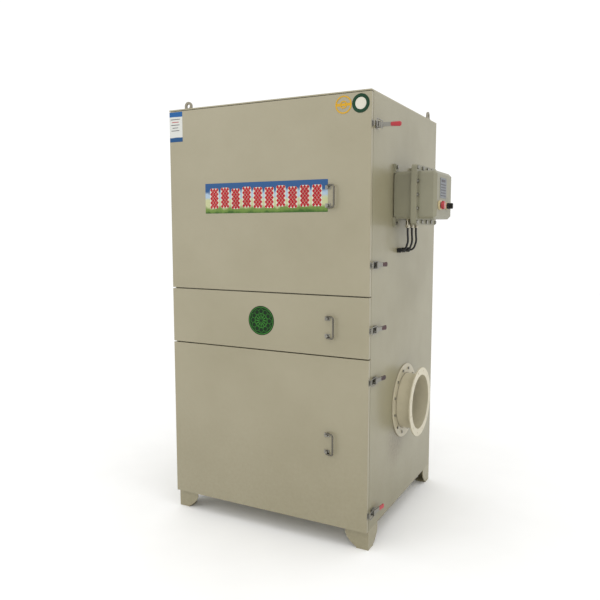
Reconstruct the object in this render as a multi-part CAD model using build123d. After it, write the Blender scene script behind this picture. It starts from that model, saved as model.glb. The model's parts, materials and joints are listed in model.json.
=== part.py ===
"""Cabinet dust collector with three front doors, a side duct port and a control box.

Frame: X to the right, Y to the back, Z up, millimetres. The origin is on the
floor, at the centre of the four anchor holes in the feet.
"""
from build123d import *
import math
import os

# ------------------------------------------------------------------ cabinet
cabinet_width = 1100.0
body_depth = 985.0
cabinet_height = 2100.0
foot_height = 95.0
sheet = 3.0
roof_thickness = 6.0
floor_thickness = 4.0
post_size = 40.0
tube_wall = 3.0

# ------------------------------------------------------------------ doors
door_gap = 3.5
door_pan_depth = 21.5
door_sheet = 2.0
door_lip = 16.0
door_split = 6.0
door_reveal = 3.0
lower_split_height = 912.0
upper_split_height = 1196.0
seal_thickness = 3.0
seal_width = 12.0
running_clearance = 0.05
free_clearance = 0.5

# ------------------------------------------------------------------ hinges
hinge_height = 60.0
hinge_leaf = 2.5
hinge_leaf_width = 16.0
hinge_barrel_radius = 5.0
hinge_pin_radius = 3.0
hinge_standoff = 7.0
hinge_inset = 130.0

# ------------------------------------------------------------------ toggle latches
latch_heights = (1957.0, 1338.0, 1043.0, 805.0, 174.0)
latch_names = ("upper_top", "upper_bottom", "middle", "lower_top", "lower_bottom")
latch_open_angles = (72.0, 0.0, 0.0, 0.0, 0.0)
latch_setback = 40.0
latch_pivot_height = 12.0
latch_pin_radius = 3.0
latch_wire_radius = 2.0
latch_lever_length = 95.0
latch_lever_half_width = 11.0
latch_lever_thickness = 6.0
latch_lever_tilt = 8.0
latch_throw = 14.0
latch_drop = 1.5
latch_ear = 2.4
latch_side_gap = 0.3
keeper_height = 8.0
keeper_half_width = 10.0
keeper_thickness = 2.5

# ------------------------------------------------------------------ door handles
handle_x = 345.0
handle_heights = {"upper": 1646.0, "middle": 1048.0, "lower": 495.0}
handle_span = 100.0
handle_reach = 40.0
handle_wire_radius = 4.0
handle_fold_angle = 20.0
handle_axis_height = 7.0
handle_bend = 12.0

# ------------------------------------------------------------------ duct ports
port_radius = 140.0
port_wall = 3.0
port_length = 88.0
port_flange_radius = 178.0
port_flange_thickness = 6.0
port_collar_radius = 192.0
port_collar_thickness = 5.0
port_bolt_count = 12
port_bolt_radius = 4.0
outlet_height = 608.0
inlet_height = 1400.0

# ------------------------------------------------------------------ control box
box_centre_y = -80.0
box_bottom = 1548.0
box_height = 224.0
box_width = 280.0
box_wall = 6.0
box_standoff = 4.0
box_body_depth = 92.0
box_flange = 28.0
box_flange_thickness = 13.0
box_lid_depth = 86.0
box_chamfer = 14.0
box_corner = 18.0
box_bolt_radius = 5.0
box_ear_size = 36.0
stop_offset_y = -80.0
selector_offset_y = 45.0
operator_height = 64.0
stop_head_radius = 20.0
stop_stem_radius = 6.0
stop_travel = 5.0
stop_collar_radius = 22.0
stop_collar_height = 7.0
selector_radius = 15.0
selector_spindle_radius = 4.0
plate_width = 108.0
plate_height = 96.0
plate_thickness = 1.5

# ------------------------------------------------------------------ cables
cable_radius = 5.0
cable_pitch = 66.0
cable_box_reach = 50.0
cable_wall_height = 1396.0
box_gland_length = 42.0
wall_gland_length = 20.0
gland_nut_radius = 12.0
gland_thread_radius = 8.0
gland_hole_clearance = 0.1

# ------------------------------------------------------------------ inside
tube_sheet_height = 1880.0
tube_sheet_thickness = 4.0
bag_radius = 65.0
bag_length = 480.0
bag_cloth = 2.0
bag_pitch = 205.0
bag_rows = 4
bag_columns = 4
cage_wire_radius = 2.0
cage_radius = 60.0
baffle_y = 375.0
hopper_top = 1330.0
hopper_bottom = 1222.0
hopper_mouth_inset = 140.0
drawer_height = 225.0
drawer_sheet = 2.0
drawer_margin = 24.0
tank_radius = 60.0
valve_radius = 32.0
blow_tube_radius = 13.0
fan_width = 190.0
fan_first_radius = 215.0
fan_step = 25.0
fan_sheet = 3.0
fan_outlet = 256.0
impeller_radius = 178.0
impeller_blades = 10
shaft_radius = 19.0
motor_radius = 112.0
motor_length = 290.0
motor_fins = 24

# ------------------------------------------------------------------ feet, lugs and relief panel
foot_length = 118.0
foot_plate = 5.0
foot_pad = 62.0
foot_pad_thickness = 8.0
foot_toe = 46.0
foot_end = 32.0
anchor_inset = 36.0
anchor_hole_radius = 7.0
lug_width = 62.0
lug_height = 39.0
lug_hole_radius = 10.0
lug_hole_height = 17.0
lug_thickness = 8.0
relief_width = 460.0
relief_height = 200.0
relief_rim = 30.0
relief_centre_height = 1742.0

# ------------------------------------------------------------------ worked out from the above
half_width = cabinet_width / 2
body_front = -body_depth / 2
body_back = body_depth / 2
inner_half = half_width - sheet
roof_bottom = cabinet_height - roof_thickness
floor_top = foot_height + floor_thickness
door_back = body_front - door_gap
door_front = door_back - door_pan_depth
hinge_x = -half_width - hinge_standoff
hinge_y = body_front - door_gap / 2
door_spans = {
    "lower": (foot_height, lower_split_height - door_split / 2),
    "middle": (lower_split_height + door_split / 2, upper_split_height - door_split / 2),
    "upper": (upper_split_height + door_split / 2, roof_bottom - door_reveal),
}
latch_pivot_y = body_front + latch_setback
latch_pivot_x = half_width + latch_pivot_height
latch_doors = {"upper": (0, 1), "middle": (2,), "lower": (3, 4)}
box_back = half_width + box_standoff
box_joint = box_back + box_body_depth + box_flange_thickness
box_front = box_joint + box_flange_thickness + box_lid_depth
box_middle_z = box_bottom + box_height / 2
operator_z = box_bottom + operator_height
cable_ys = [box_centre_y + (k - 1) * cable_pitch for k in range(3)]
cable_box_x = half_width + cable_box_reach
deck_height = lower_split_height + post_size / 2
fan_centre_z = outlet_height + fan_outlet / 2 + fan_sheet - 2 * fan_step - fan_first_radius - fan_step
fan_centre_x = 150.0
impeller_x = fan_centre_x + fan_step / 2
impeller_z = fan_centre_z + fan_step / 2

os.makedirs("parts", exist_ok=True)


# ------------------------------------------------------------------ helpers
def block(x0, x1, y0, y1, z0, z1):
    """A box between two corners."""
    centre = ((x0 + x1) / 2, (y0 + y1) / 2, (z0 + z1) / 2)
    return Pos(*centre) * Box(abs(x1 - x0), abs(y1 - y0), abs(z1 - z0))


def rod(start, end, radius):
    """A round bar between two points."""
    run = Vector(*end) - Vector(*start)
    plane = Plane(origin=start, z_dir=run)
    return plane * Cylinder(radius, run.length, align=(Align.CENTER, Align.CENTER, Align.MIN))


def ball(centre, radius):
    """A sphere at a point."""
    return Pos(*centre) * Sphere(radius)


def joined(pieces):
    """All pieces fused to one solid."""
    whole = pieces[0]
    for piece in pieces[1:]:
        whole = whole + piece
    return whole


def save(name, solids):
    """Write one node, as one solid or as a group of separate solids."""
    loose = []
    for shape in solids:
        loose.extend(shape.solids())
    shape = loose[0] if len(loose) == 1 else Compound(loose)
    export_step(shape, "parts/" + name + ".step")


def turned(shape, x, y, angle):
    """A shape turned about a vertical axis at (x, y)."""
    return Pos(x, y, 0) * Rot(0, 0, angle) * Pos(-x, -y, 0) * shape


def hex_prism(centre, axis, radius, height):
    """A hexagonal nut or bolt head standing on centre along axis."""
    plane = Plane(origin=centre, z_dir=axis)
    return extrude(plane * RegularPolygon(radius, 6), height)


# ------------------------------------------------------------------ cabinet shell
def side_panel(side):
    """One side wall, side = -1 left or +1 right."""
    outer = side * half_width
    inner = side * inner_half
    return block(min(outer, inner), max(outer, inner), body_front, body_back, foot_height, roof_bottom)


def left_panel():
    """Left wall with the dusty-air inlet and the relief opening."""
    wall = side_panel(-1)
    wall -= rod((-half_width - 1, 0, inlet_height), (-inner_half + 1, 0, inlet_height), port_radius)
    half = relief_width / 2
    rise = relief_height / 2
    wall -= block(-half_width - 1, -inner_half + 1, -half, half,
                  relief_centre_height - rise, relief_centre_height + rise)
    return wall


def right_panel():
    """Right wall with the duct port opening and three cable holes."""
    wall = side_panel(1)
    wall -= rod((inner_half - 1, 0, outlet_height), (half_width + 1, 0, outlet_height), port_radius)
    for y in cable_ys:
        hole = gland_thread_radius + gland_hole_clearance
        wall -= rod((inner_half - 1, y, cable_wall_height), (half_width + 1, y, cable_wall_height), hole)
    return wall


def post(x_side, y_side):
    """One square-tube corner post."""
    x0 = x_side * inner_half
    x1 = x_side * (inner_half - post_size)
    y0 = body_front if y_side < 0 else body_back - sheet
    y1 = y0 - y_side * post_size
    z0, z1 = floor_top, roof_bottom
    solid = block(min(x0, x1), max(x0, x1), min(y0, y1), max(y0, y1), z0, z1)
    hollow = block(min(x0, x1) + tube_wall, max(x0, x1) - tube_wall,
                   min(y0, y1) + tube_wall, max(y0, y1) - tube_wall, z0 - 1, z1 + 1)
    return solid - hollow


def rail(middle_height):
    """One square-tube cross rail between the front posts."""
    half = inner_half - post_size
    z0 = middle_height - post_size / 2
    z1 = middle_height + post_size / 2
    solid = block(-half, half, body_front, body_front + post_size, z0, z1)
    hollow = block(-half - 1, half + 1, body_front + tube_wall, body_front + post_size - tube_wall,
                   z0 + tube_wall, z1 - tube_wall)
    return solid - hollow


def cabinet_shell():
    """Walls, roof, floor, posts and rails."""
    save("left_panel", [left_panel()])
    save("right_panel", [right_panel()])
    save("back_panel", [block(-inner_half, inner_half, body_back - sheet, body_back, foot_height, roof_bottom)])
    save("roof_plate", [block(-half_width, half_width, door_front, body_back, roof_bottom, cabinet_height)])
    save("floor_pan", [block(-inner_half, inner_half, body_front, body_back - sheet, foot_height, floor_top)])
    save("corner_posts", [post(sx, sy) for sx in (-1, 1) for sy in (-1, 1)])
    heights = (floor_top + post_size / 2, lower_split_height, upper_split_height, roof_bottom - post_size / 2)
    save("front_rails", [rail(height) for height in heights])


# ------------------------------------------------------------------ doors
def door_pan(z0, z1):
    """A folded door: front sheet, four returns and an inward lip behind."""
    pan = block(-half_width, half_width, door_front, door_back, z0, z1)
    pan = fillet(pan.edges().filter_by(Axis.Z).sort_by(Axis.Y)[:2], door_sheet)
    pocket = door_sheet
    pan -= block(-half_width + pocket, half_width - pocket, door_front + door_sheet,
                 door_back - door_sheet, z0 + pocket, z1 - pocket)
    mouth = door_sheet + door_lip
    pan -= block(-half_width + mouth, half_width - mouth, door_back - door_sheet - 1, door_back + 1,
                 z0 + mouth, z1 - mouth)
    return pan


def door_seal(z0, z1):
    """A rubber frame glued to the cabinet behind a door's lip."""
    edge = (door_lip + door_sheet - seal_width) / 2
    y0 = body_front - seal_thickness
    outer = block(-half_width + edge, half_width - edge, y0, body_front, z0 + edge, z1 - edge)
    inset = edge + seal_width
    inner = block(-half_width + inset, half_width - inset, y0 - 1, body_front + 1, z0 + inset, z1 - inset)
    return outer - inner


def hinge_levels(z0, z1):
    """Middle heights of a door's hinges."""
    inset = min(hinge_inset, (z1 - z0) / 4)
    levels = [z0 + inset, z1 - inset]
    if z1 - z0 > 850:
        levels.append((z0 + z1) / 2)
    return levels


def frame_hinge(z):
    """Fixed half of a lift-off hinge, with its pin."""
    half = hinge_height / 2
    face = -half_width
    leaf = block(face - hinge_leaf, face, body_front + 1, body_front + hinge_leaf_width, z - half, z + half)
    web = block(hinge_x, face, body_front, body_front + sheet, z - half, z)
    barrel = rod((hinge_x, hinge_y, z - half), (hinge_x, hinge_y, z), hinge_barrel_radius)
    pin = rod((hinge_x, hinge_y, z - half), (hinge_x, hinge_y, z + half - 4), hinge_pin_radius)
    return joined([leaf, web, barrel, pin])


def door_hinge(z):
    """Moving half of a lift-off hinge, with its bore."""
    half = hinge_height / 2
    face = -half_width
    lift = free_clearance
    leaf = block(face - hinge_leaf, face, door_back - hinge_leaf_width, door_back - 1, z - half, z + half)
    web = block(hinge_x, face, door_back - sheet, door_back, z + lift, z + half)
    barrel = rod((hinge_x, hinge_y, z + lift), (hinge_x, hinge_y, z + half), hinge_barrel_radius)
    bore = rod((hinge_x, hinge_y, z - half), (hinge_x, hinge_y, z + half - 3),
               hinge_pin_radius + running_clearance)
    return joined([leaf, web, barrel]) - bore


# ------------------------------------------------------------------ handles
def handle_bracket(z, side):
    """One eye of a folding handle, side = -1 below or +1 above the middle."""
    middle = z + side * (handle_span / 2 - 9.5)
    axis_y = door_front - handle_axis_height
    foot = block(handle_x - 13, handle_x + 13, door_front - 2.5, door_front, middle - 9, middle + 9)
    web = block(handle_x - 5, handle_x + 5, axis_y, door_front, middle - 5, middle + 5)
    barrel = rod((handle_x, axis_y, middle - 5), (handle_x, axis_y, middle + 5), 6.5)
    bore = rod((handle_x, axis_y, middle - 20), (handle_x, axis_y, middle + 20),
               handle_wire_radius + running_clearance)
    return joined([foot, web, barrel]) - bore


def handle_grip(z):
    """The swinging D of bent bar, folded towards the latch side."""
    axis_y = door_front - handle_axis_height
    half = handle_span / 2
    out = handle_x + handle_reach
    path = FilletPolyline((handle_x, axis_y, z - half), (out, axis_y, z - half),
                          (out, axis_y, z + half), (handle_x, axis_y, z + half), radius=handle_bend)
    section = Plane(origin=path @ 0, z_dir=path % 0) * Circle(handle_wire_radius)
    bar = sweep(section, path=path)
    pieces = [bar]
    for side in (-1, 1):
        corner = (handle_x, axis_y, z + side * half)
        pieces.append(ball(corner, handle_wire_radius))
        pieces.append(rod(corner, (handle_x, axis_y, z + side * (half - 16)), handle_wire_radius))
    return turned(joined(pieces), handle_x, axis_y, -handle_fold_angle)


# ------------------------------------------------------------------ latches
def latch_base(z):
    """Plate, two ears and the pivot pin of a toggle latch, on the right wall."""
    face = half_width
    ear_in = latch_lever_half_width + latch_side_gap
    ear_out = ear_in + latch_ear
    base = block(face, face + 2.5, latch_pivot_y - 18, latch_pivot_y + 22, z - 17, z + 17)
    pieces = [base]
    for side in (-1, 1):
        z0 = z + side * ear_in
        z1 = z + side * ear_out
        pieces.append(block(face, latch_pivot_x, latch_pivot_y - 6, latch_pivot_y + 6, min(z0, z1), max(z0, z1)))
        pieces.append(rod((latch_pivot_x, latch_pivot_y, z0), (latch_pivot_x, latch_pivot_y, z1), 6))
        pieces.append(rod((face, latch_pivot_y - 12 * side, z), (face + 4, latch_pivot_y - 12 * side, z), 3))
    pieces.append(rod((latch_pivot_x, latch_pivot_y, z - ear_out), (latch_pivot_x, latch_pivot_y, z + ear_out),
                      latch_pin_radius))
    return joined(pieces)


def link_point():
    """Where the bail turns in the lever, with the lever closed."""
    return latch_pivot_x - latch_drop, latch_pivot_y + latch_throw


def latch_lever(z, open_angle):
    """Lever of a toggle latch."""
    half = latch_lever_half_width
    px, py = latch_pivot_x, latch_pivot_y
    bx, by = link_point()
    boss = rod((px, py, z - half), (px, py, z + half), 6)
    link = rod((bx, by, z - half), (bx, by, z + half), 4.5)
    neck = block(px - 3, px + 3, py, py + latch_throw, z - half, z + half)
    arm = block(px - 3, px + 3, py + latch_throw, py + latch_lever_length, z - half + 2, z + half - 2)
    tip_edges = arm.edges().filter_by(Axis.X).sort_by(Axis.Y)[-2:]
    arm = fillet(tip_edges, half - 4)
    arm = turned(arm, px, py + latch_throw, -latch_lever_tilt)
    lever = joined([boss, link, neck, arm])
    lever -= rod((px, py, z - 2 * half), (px, py, z + 2 * half), latch_pin_radius + running_clearance)
    lever -= rod((bx, by, z - 2 * half), (bx, by, z + 2 * half), latch_wire_radius + running_clearance)
    return turned(lever, px, py, -open_angle)


def latch_bail(z, open_angle):
    """Closed wire loop that pulls on the keeper; it stands just off the keeper."""
    bx, by = link_point()
    kx = half_width + door_keeper_top() + free_clearance + latch_wire_radius
    ky = door_back - 12.3
    leg = latch_lever_half_width + latch_side_gap * 2 + latch_ear + latch_wire_radius
    corners = [(bx, by, z - leg), (bx, by, z + leg), (kx, ky, z + leg), (kx, ky, z - leg)]
    pieces = []
    for k in range(4):
        pieces.append(rod(corners[k], corners[(k + 1) % 4], latch_wire_radius))
        pieces.append(ball(corners[k], latch_wire_radius))
    loop = joined(pieces)
    swing = math.radians(open_angle)
    dx = bx - latch_pivot_x
    dy = by - latch_pivot_y
    shift_x = dx * math.cos(swing) + dy * math.sin(swing) - dx
    shift_y = -dx * math.sin(swing) + dy * math.cos(swing) - dy
    return Pos(shift_x, shift_y, 0) * loop


def door_keeper_top():
    """Height of the keeper's tab over the door's edge."""
    return door_sheet + keeper_height


def latch_keeper(z):
    """Keeper riveted to the door's right edge."""
    face = half_width
    foot = block(face, face + 2, door_back - 19, door_back - 3, z - 14, z + 14)
    tab = block(face, face + door_keeper_top(), door_back - 9.5, door_back - 9.5 + keeper_thickness,
                z - keeper_half_width, z + keeper_half_width)
    return foot + tab


def doors():
    """Three doors with their hinge leaves, keepers, handle eyes and handles."""
    seals = []
    frame_leaves = []
    for name, (z0, z1) in door_spans.items():
        save(name + "_door", [door_pan(z0, z1)])
        seals.append(door_seal(z0, z1))
        levels = hinge_levels(z0, z1)
        frame_leaves += [frame_hinge(level) for level in levels]
        handle_z = handle_heights[name]
        fittings = [door_hinge(level) for level in levels]
        fittings += [latch_keeper(latch_heights[k]) for k in latch_doors[name]]
        fittings += [handle_bracket(handle_z, side) for side in (-1, 1)]
        save(name + "_door_fittings", fittings)
        save(name + "_door_handle", [handle_grip(handle_z)])
    save("door_seals", seals)
    save("frame_hinge_leaves", frame_leaves)


def latches():
    """Five toggle latches on the right wall."""
    save("latch_bases", [latch_base(z) for z in latch_heights])
    for name, z, angle in zip(latch_names, latch_heights, latch_open_angles):
        save(name + "_latch_lever", [latch_lever(z, angle)])
        save(name + "_latch_bail", [latch_bail(z, angle)])


# ------------------------------------------------------------------ duct ports
def port_spigot(side, height):
    """Flanged pipe stub on a side wall, side = -1 left or +1 right."""
    wall = side * half_width
    end = side * (half_width + port_length)

    def ring(x0, x1, outer):
        return rod((x0, 0, height), (x1, 0, height), outer)

    body = ring(wall, wall + side * port_collar_thickness, port_collar_radius)
    body += ring(wall, end, port_radius + port_wall)
    body += ring(end - side * port_flange_thickness, end, port_flange_radius)
    body -= ring(wall - side * 10, end + side * 10, port_radius)
    for x, radius in ((wall, bolt_circle(port_collar_radius)), (end, bolt_circle(port_flange_radius))):
        for y, z in bolt_points(radius):
            body -= rod((x - side * 12, y, height + z), (x + side * 12, y, height + z),
                        port_bolt_radius + running_clearance)
    return body


def bolt_circle(flange_radius):
    """Radius of the bolt circle on a flange round the pipe."""
    return (flange_radius + port_radius + port_wall) / 2


def bolt_points(radius):
    """Offsets of the bolts on their circle."""
    step = 2 * math.pi / port_bolt_count
    return [(radius * math.cos((k + 0.5) * step), radius * math.sin((k + 0.5) * step))
            for k in range(port_bolt_count)]


def collar_bolts(side, height):
    """Bolts that hold a port's collar to the wall."""
    face = side * (half_width + port_collar_thickness)
    bolts = []
    for y, z in bolt_points(bolt_circle(port_collar_radius)):
        head = hex_prism((face, y, height + z), (side, 0, 0), port_bolt_radius * 1.8, 5)
        shank = rod((face, y, height + z), (side * half_width, y, height + z), port_bolt_radius)
        bolts.append(head + shank)
    return bolts


def duct_ports():
    """Clean-air port on the right, dusty-air port on the left."""
    save("outlet_spigot", [port_spigot(1, outlet_height)])
    save("inlet_spigot", [port_spigot(-1, inlet_height)])
    save("spigot_bolts", collar_bolts(1, outlet_height) + collar_bolts(-1, inlet_height))


# ------------------------------------------------------------------ feet, lugs and relief panel
def foot_profile():
    """Outline of a foot's plate: flat toe, curved underside, straight inner end."""
    line = Polyline((0, foot_height), (0, 0), (foot_toe, 0))
    curve = ThreePointArc((foot_toe, 0), ((foot_toe + foot_length) / 2 + 6, foot_end / 2 + 7),
                          (foot_length, foot_height - foot_end))
    top = Polyline((foot_length, foot_height - foot_end), (foot_length, foot_height), (0, foot_height))
    return make_face(line + curve + top)


def corner_foot(x_side, y_side):
    """One bent corner foot with its anchor pad."""
    plate = extrude(foot_profile(), foot_plate)
    along_x = Plane(origin=(0, 0, 0), x_dir=(1, 0, 0), z_dir=(0, -1, 0))
    along_y = Plane(origin=(0, 0, 0), x_dir=(0, 1, 0), z_dir=(1, 0, 0))
    front = Pos(0, foot_plate, 0) * (along_x * plate)
    side = along_y * plate
    pad = block(0, foot_pad, 0, foot_pad, 0, foot_pad_thickness)
    cap = block(0, foot_length - 10, 0, foot_length - 10, foot_height - foot_plate, foot_height)
    cap -= block(foot_pad, foot_length, foot_pad, foot_length, 0, foot_height + 1)
    foot = joined([front, side, pad, cap])
    foot -= rod((anchor_inset, anchor_inset, -1), (anchor_inset, anchor_inset, foot_pad_thickness + 1),
                anchor_hole_radius)
    foot = Pos(-half_width, body_front, 0) * foot
    if x_side > 0:
        foot = mirror(foot, about=Plane.YZ)
    if y_side > 0:
        foot = mirror(foot, about=Plane.XZ)
    return foot


def lifting_lug():
    """Eye plate standing on the roof, in the XZ plane, middle of its foot at the origin."""
    half = lug_width / 2
    round_top = lug_height - lug_hole_height
    plate = block(-half, half, 0, lug_thickness, 0, 6)
    bar = block(-round_top, round_top, 0, lug_thickness, 0, lug_hole_height)
    top = rod((0, 0, lug_hole_height), (0, lug_thickness, lug_hole_height), round_top)
    lug = joined([plate, bar, top]) & block(-half, half, 0, lug_thickness, 0, lug_height)
    return lug - rod((0, -1, lug_hole_height), (0, lug_thickness + 1, lug_hole_height), lug_hole_radius)


def feet_and_lugs():
    """Feet, lifting lugs and the relief panel on the left wall."""
    save("corner_feet", [corner_foot(sx, sy) for sx in (-1, 1) for sy in (-1, 1)])
    front_lug = Pos(-half_width + 100, body_front + 2, cabinet_height) * lifting_lug()
    rear_lug = Pos(half_width - 2, body_back - 150, cabinet_height) * Rot(0, 0, 90) * lifting_lug()
    save("lifting_lugs", [front_lug, rear_lug])
    face = -half_width
    half = relief_width / 2
    rise = relief_height / 2
    z = relief_centre_height
    rim = relief_rim
    frame = block(face - 6, face, -half - rim, half + rim, z - rise - rim, z + rise + rim)
    frame -= block(face - 8, face + 2, -half, half, z - rise, z + rise)
    membrane = block(face - 1.5, face, -half, half, z - rise, z + rise)
    dome = block(face - 6, face - 1.5, -half + 40, half - 40, z - rise + 40, z + rise - 40)
    save("relief_panel", [frame, membrane + dome])


# ------------------------------------------------------------------ control box
def box_outline(x0, x1, grow):
    """A block with the control box's outline, grown on all four sides."""
    return block(x0, x1, box_centre_y - box_width / 2 - grow, box_centre_y + box_width / 2 + grow,
                 box_bottom - grow, box_bottom + box_height + grow)


def flange_points():
    """Bolt places round the box's flange, as (y, z)."""
    half_y = box_width / 2 + box_flange / 2
    half_z = box_height / 2 + box_flange / 2
    points = []
    for k in range(5):
        across = -half_y + k * half_y / 2
        points.append((box_centre_y + across, box_middle_z - half_z))
        points.append((box_centre_y + across, box_middle_z + half_z))
    for k in range(1, 4):
        up = -half_z + k * half_z / 2
        points.append((box_centre_y - half_y, box_middle_z + up))
        points.append((box_centre_y + half_y, box_middle_z + up))
    return points


def ear_points():
    """Wall bolts of the control box, as (y, z)."""
    half_y = box_width / 2 - 14
    half_z = box_height / 2 + 22
    return [(box_centre_y + sy * half_y, box_middle_z + sz * half_z) for sy in (-1, 1) for sz in (-1, 1)]


def control_box_body():
    """Cast box with wall ears, a machined flange and three gland holes."""
    flange_back = box_back + box_body_depth
    shell = box_outline(box_back, flange_back, 0)
    shell = fillet(shell.edges().filter_by(Axis.X), box_corner)
    flange = box_outline(flange_back, box_joint, box_flange)
    flange = fillet(flange.edges().filter_by(Axis.X), 16)
    pieces = [shell, flange]
    for y, z in ear_points():
        inward = -1 if z > box_middle_z else 1
        ear = block(half_width, half_width + 12, y - box_ear_size / 2, y + box_ear_size / 2,
                    min(z - inward * 14, z + inward * 30), max(z - inward * 14, z + inward * 30))
        pieces.append(ear)
    body = joined(pieces)
    cavity = box_outline(box_back + box_wall, box_joint + 1, -box_wall)
    body -= fillet(cavity.edges().filter_by(Axis.X), 8)
    for y in cable_ys:
        hole = gland_thread_radius + gland_hole_clearance
        body -= rod((cable_box_x, y, box_bottom - 1), (cable_box_x, y, box_bottom + box_wall + 1), hole)
    for y, z in ear_points():
        body -= rod((half_width - 1, y, z), (half_width + 30, y, z), box_bolt_radius + running_clearance)
    for y, z in flange_points():
        body -= rod((flange_back - 1, y, z), (box_joint + 1, y, z), box_bolt_radius + running_clearance)
    return body


def control_box_lid():
    """Deep cast lid with bevelled front edges."""
    flange_front = box_joint + box_flange_thickness
    flange = box_outline(box_joint, flange_front, box_flange)
    flange = fillet(flange.edges().filter_by(Axis.X), 16)
    dome = box_outline(flange_front, box_front, 0)
    dome = fillet(dome.edges().filter_by(Axis.X), box_corner)
    front_rim = dome.faces().sort_by(Axis.X)[-1].edges()
    dome = chamfer(front_rim, box_chamfer)
    lid = flange + dome
    lid -= box_outline(box_joint - 1, flange_front + 1, -box_wall)
    lid -= box_outline(flange_front, box_front - box_wall - box_chamfer, -box_wall)
    lid -= box_outline(flange_front, box_front - box_wall, -box_wall - box_chamfer)
    for y, z in flange_points():
        lid -= rod((box_joint - 1, y, z), (flange_front + 1, y, z), box_bolt_radius + running_clearance)
    for offset, radius in ((stop_offset_y, stop_stem_radius), (selector_offset_y, selector_spindle_radius)):
        lid -= rod((box_joint, box_centre_y + offset, operator_z), (box_front + 5, box_centre_y + offset, operator_z),
                   radius + running_clearance)
    return lid


def box_bolts():
    """Lid bolts and wall bolts of the control box."""
    bolts = []
    face = box_joint + box_flange_thickness
    for y, z in flange_points():
        head = hex_prism((face, y, z), (1, 0, 0), box_bolt_radius * 1.75, 6)
        bolts.append(head + rod((box_back + box_body_depth, y, z), (face, y, z), box_bolt_radius))
    for y, z in ear_points():
        head = hex_prism((half_width + 12, y, z), (1, 0, 0), box_bolt_radius * 1.75, 7)
        bolts.append(head + rod((half_width, y, z), (half_width + 12, y, z), box_bolt_radius))
    return bolts


def operators():
    """Stop button, its collar, the selector knob and its collar."""
    stop_y = box_centre_y + stop_offset_y
    selector_y = box_centre_y + selector_offset_y
    z = operator_z
    collar = rod((box_front, stop_y, z), (box_front + stop_collar_height, stop_y, z), stop_collar_radius)
    collar -= rod((box_front - 1, stop_y, z), (box_front + 20, stop_y, z), stop_stem_radius + running_clearance)
    ring = rod((box_front, selector_y, z), (box_front + 4, selector_y, z), selector_radius + 3)
    ring -= rod((box_front - 1, selector_y, z), (box_front + 20, selector_y, z),
                selector_spindle_radius + running_clearance)
    save("operator_collars", [collar, ring])
    head_back = box_front + stop_collar_height + stop_travel + free_clearance
    head = rod((head_back, stop_y, z), (head_back + 14, stop_y, z), stop_head_radius)
    head = fillet(head.faces().sort_by(Axis.X)[-1].edges(), 6)
    stem = rod((box_front - 30, stop_y, z), (head_back, stop_y, z), stop_stem_radius)
    save("stop_button", [head + stem])
    knob_back = box_front + 4 + free_clearance
    knob = rod((knob_back, selector_y, z), (knob_back + 12, selector_y, z), selector_radius)
    fin = block(knob_back + 12, knob_back + 28, selector_y - 4.5, selector_y + 4.5,
                z - selector_radius + 1, z + selector_radius - 1)
    fin = fillet(fin.edges().filter_by(Axis.Y), 5)
    spindle = rod((box_front - 30, selector_y, z), (knob_back, selector_y, z), selector_spindle_radius)
    save("selector_knob", [joined([knob, fin, spindle])])


def rating_plate():
    """Blank plate on the lid's front."""
    y = box_centre_y - 22
    z0 = operator_z + 34
    plate = block(box_front, box_front + plate_thickness, y - plate_width / 2, y + plate_width / 2,
                  z0, z0 + plate_height)
    return fillet(plate.edges().filter_by(Axis.X), 4)


def cable_gland(base, axis, length):
    """Cable gland standing on base along axis, with its thread behind and a cap nut at its end."""
    direction = Vector(*axis)
    start = Vector(*base)

    def at(distance):
        return tuple(start + direction * distance)

    cap = 11.0
    nut = hex_prism(at(0), axis, gland_nut_radius, 7)
    sleeve = rod(at(7), at(length - cap), gland_nut_radius * 0.8)
    cap_nut = hex_prism(at(length - cap), axis, gland_nut_radius, cap - 3)
    nose = rod(at(length - 3), at(length), gland_nut_radius * 0.75)
    thread = rod(at(-box_wall - 4), at(0), gland_thread_radius)
    bore = rod(at(-box_wall - 6), at(length + 1), cable_radius + running_clearance)
    return joined([nut, sleeve, cap_nut, nose, thread]) - bore


def cable_points(y):
    """Route of one cable, from inside the box to inside the wall."""
    x = cable_box_x
    wall = half_width
    low = cable_wall_height
    return [(x, y, box_bottom + box_wall + 12), (x, y, box_bottom - box_gland_length - 30),
            (x + 4, y, low + 44), (x - 8, y, low + 10), (wall + 30, y, low), (wall - 14, y, low)]


def cable(y):
    """One control cable: straight runs joined by tangent arcs."""
    points = [Vector(*point) for point in cable_points(y)]
    radii = []
    for before, corner, after in zip(points, points[1:], points[2:]):
        first = corner - before
        second = after - corner
        turn = math.radians(first.get_angle(second))
        shorter = min(first.length, second.length)
        radii.append(0.45 * shorter / math.tan(turn / 2))
    print("cable at y", round(y), "radii", [round(radius) for radius in radii])
    path = FilletPolyline(*points, radius=radii)
    section = Plane(origin=path @ 0, z_dir=path % 0) * Circle(cable_radius)
    tube = sweep(section, path=path)
    print("   volume over section times length", round(tube.volume / (math.pi * cable_radius ** 2 * path.length), 4))
    return tube


def control_box():
    """Control box with its operators, glands and cables."""
    save("control_box_body", [control_box_body()])
    save("control_box_lid", [control_box_lid()])
    save("control_box_bolts", box_bolts())
    operators()
    save("rating_plate", [rating_plate()])
    save("box_glands", [cable_gland((cable_box_x, y, box_bottom), (0, 0, -1), box_gland_length)
                        for y in cable_ys])
    save("wall_glands", [cable_gland((half_width, y, cable_wall_height), (1, 0, 0), wall_gland_length)
                         for y in cable_ys])
    save("control_cables", [cable(y) for y in cable_ys])


# ------------------------------------------------------------------ filters
def bag_places():
    """Middles of the filter bags, as (x, y)."""
    middle_y = (body_front + post_size + baffle_y) / 2
    return [((i - (bag_columns - 1) / 2) * bag_pitch, middle_y + (j - (bag_rows - 1) / 2) * bag_pitch)
            for i in range(bag_columns) for j in range(bag_rows)]


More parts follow.
